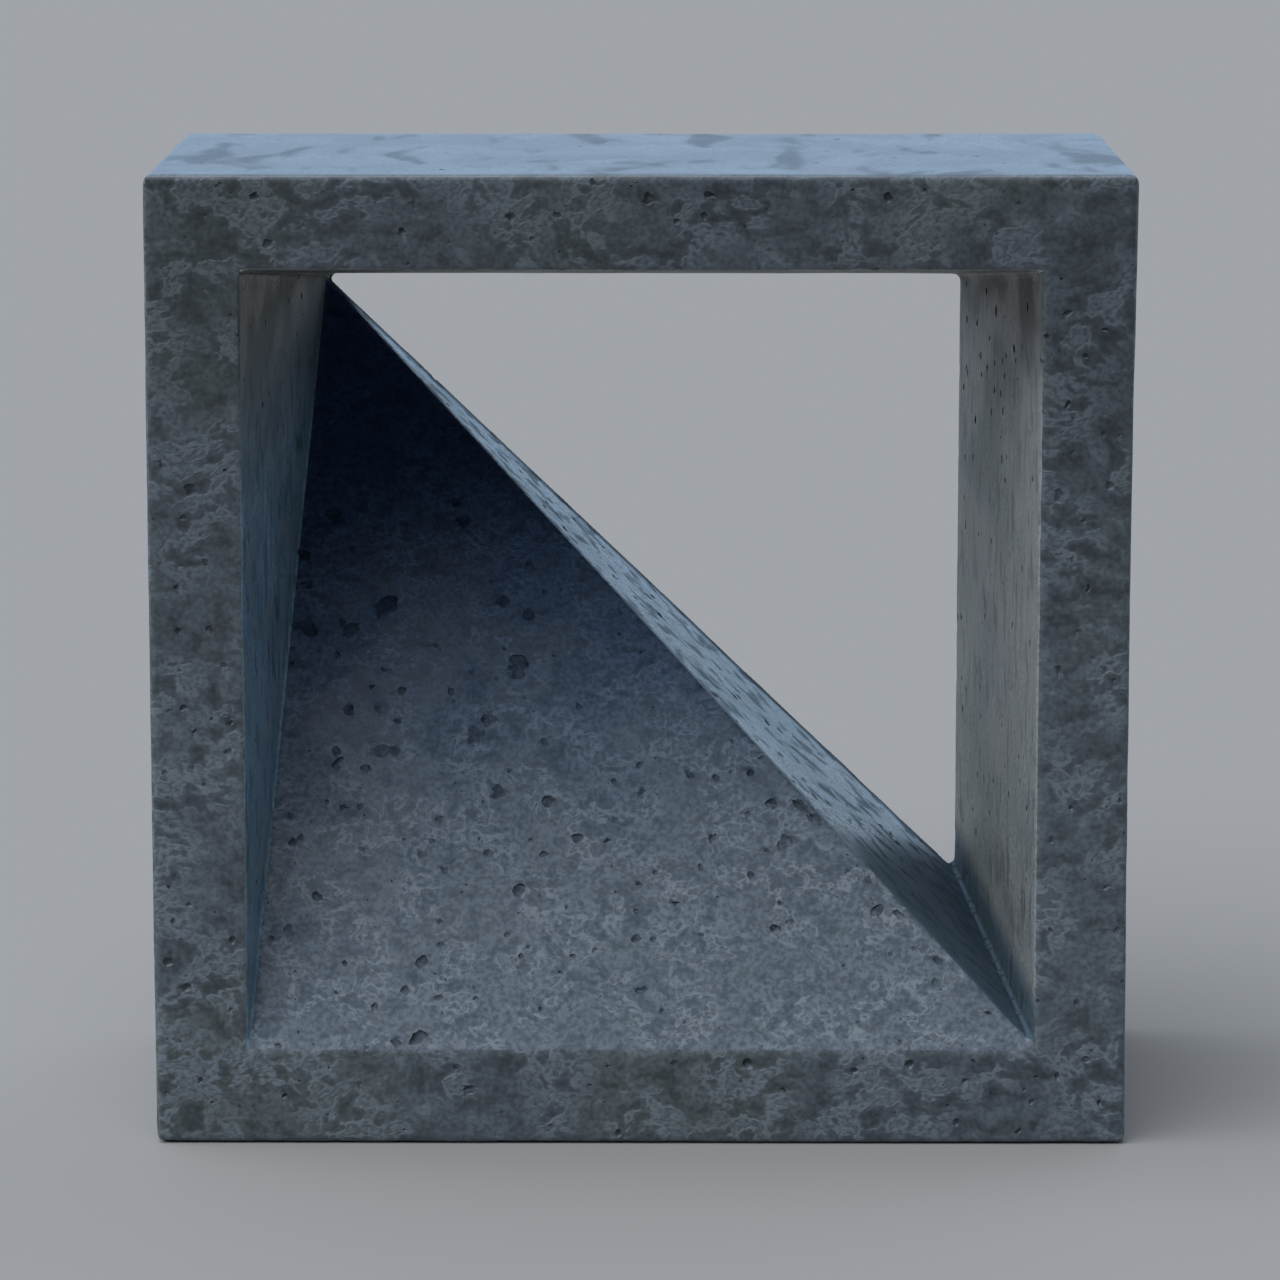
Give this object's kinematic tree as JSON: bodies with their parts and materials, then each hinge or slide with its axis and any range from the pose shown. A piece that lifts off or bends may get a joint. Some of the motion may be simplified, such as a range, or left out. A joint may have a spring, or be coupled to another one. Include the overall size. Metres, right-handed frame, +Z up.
{
  "type": "concrete screen block",
  "caption": "Square cast concrete screen block: a frame round a core that narrows to the back, with a solid pyramid-shaped web that leaves a triangular window.",
  "frame": {"origin": "centre of the base, on the floor, midway between the front and back faces", "axes": "+X to the right seen from the front, +Y from the front face to the back face, +Z up"},
  "size_m": [0.2, 0.1, 0.2],
  "materials": {
    "concrete": "dark grey cast concrete, matt, with fine mottling and small air holes"
  },
  "bodies": {
    "root": {"block": "concrete"}
  },
  "joints": []
}
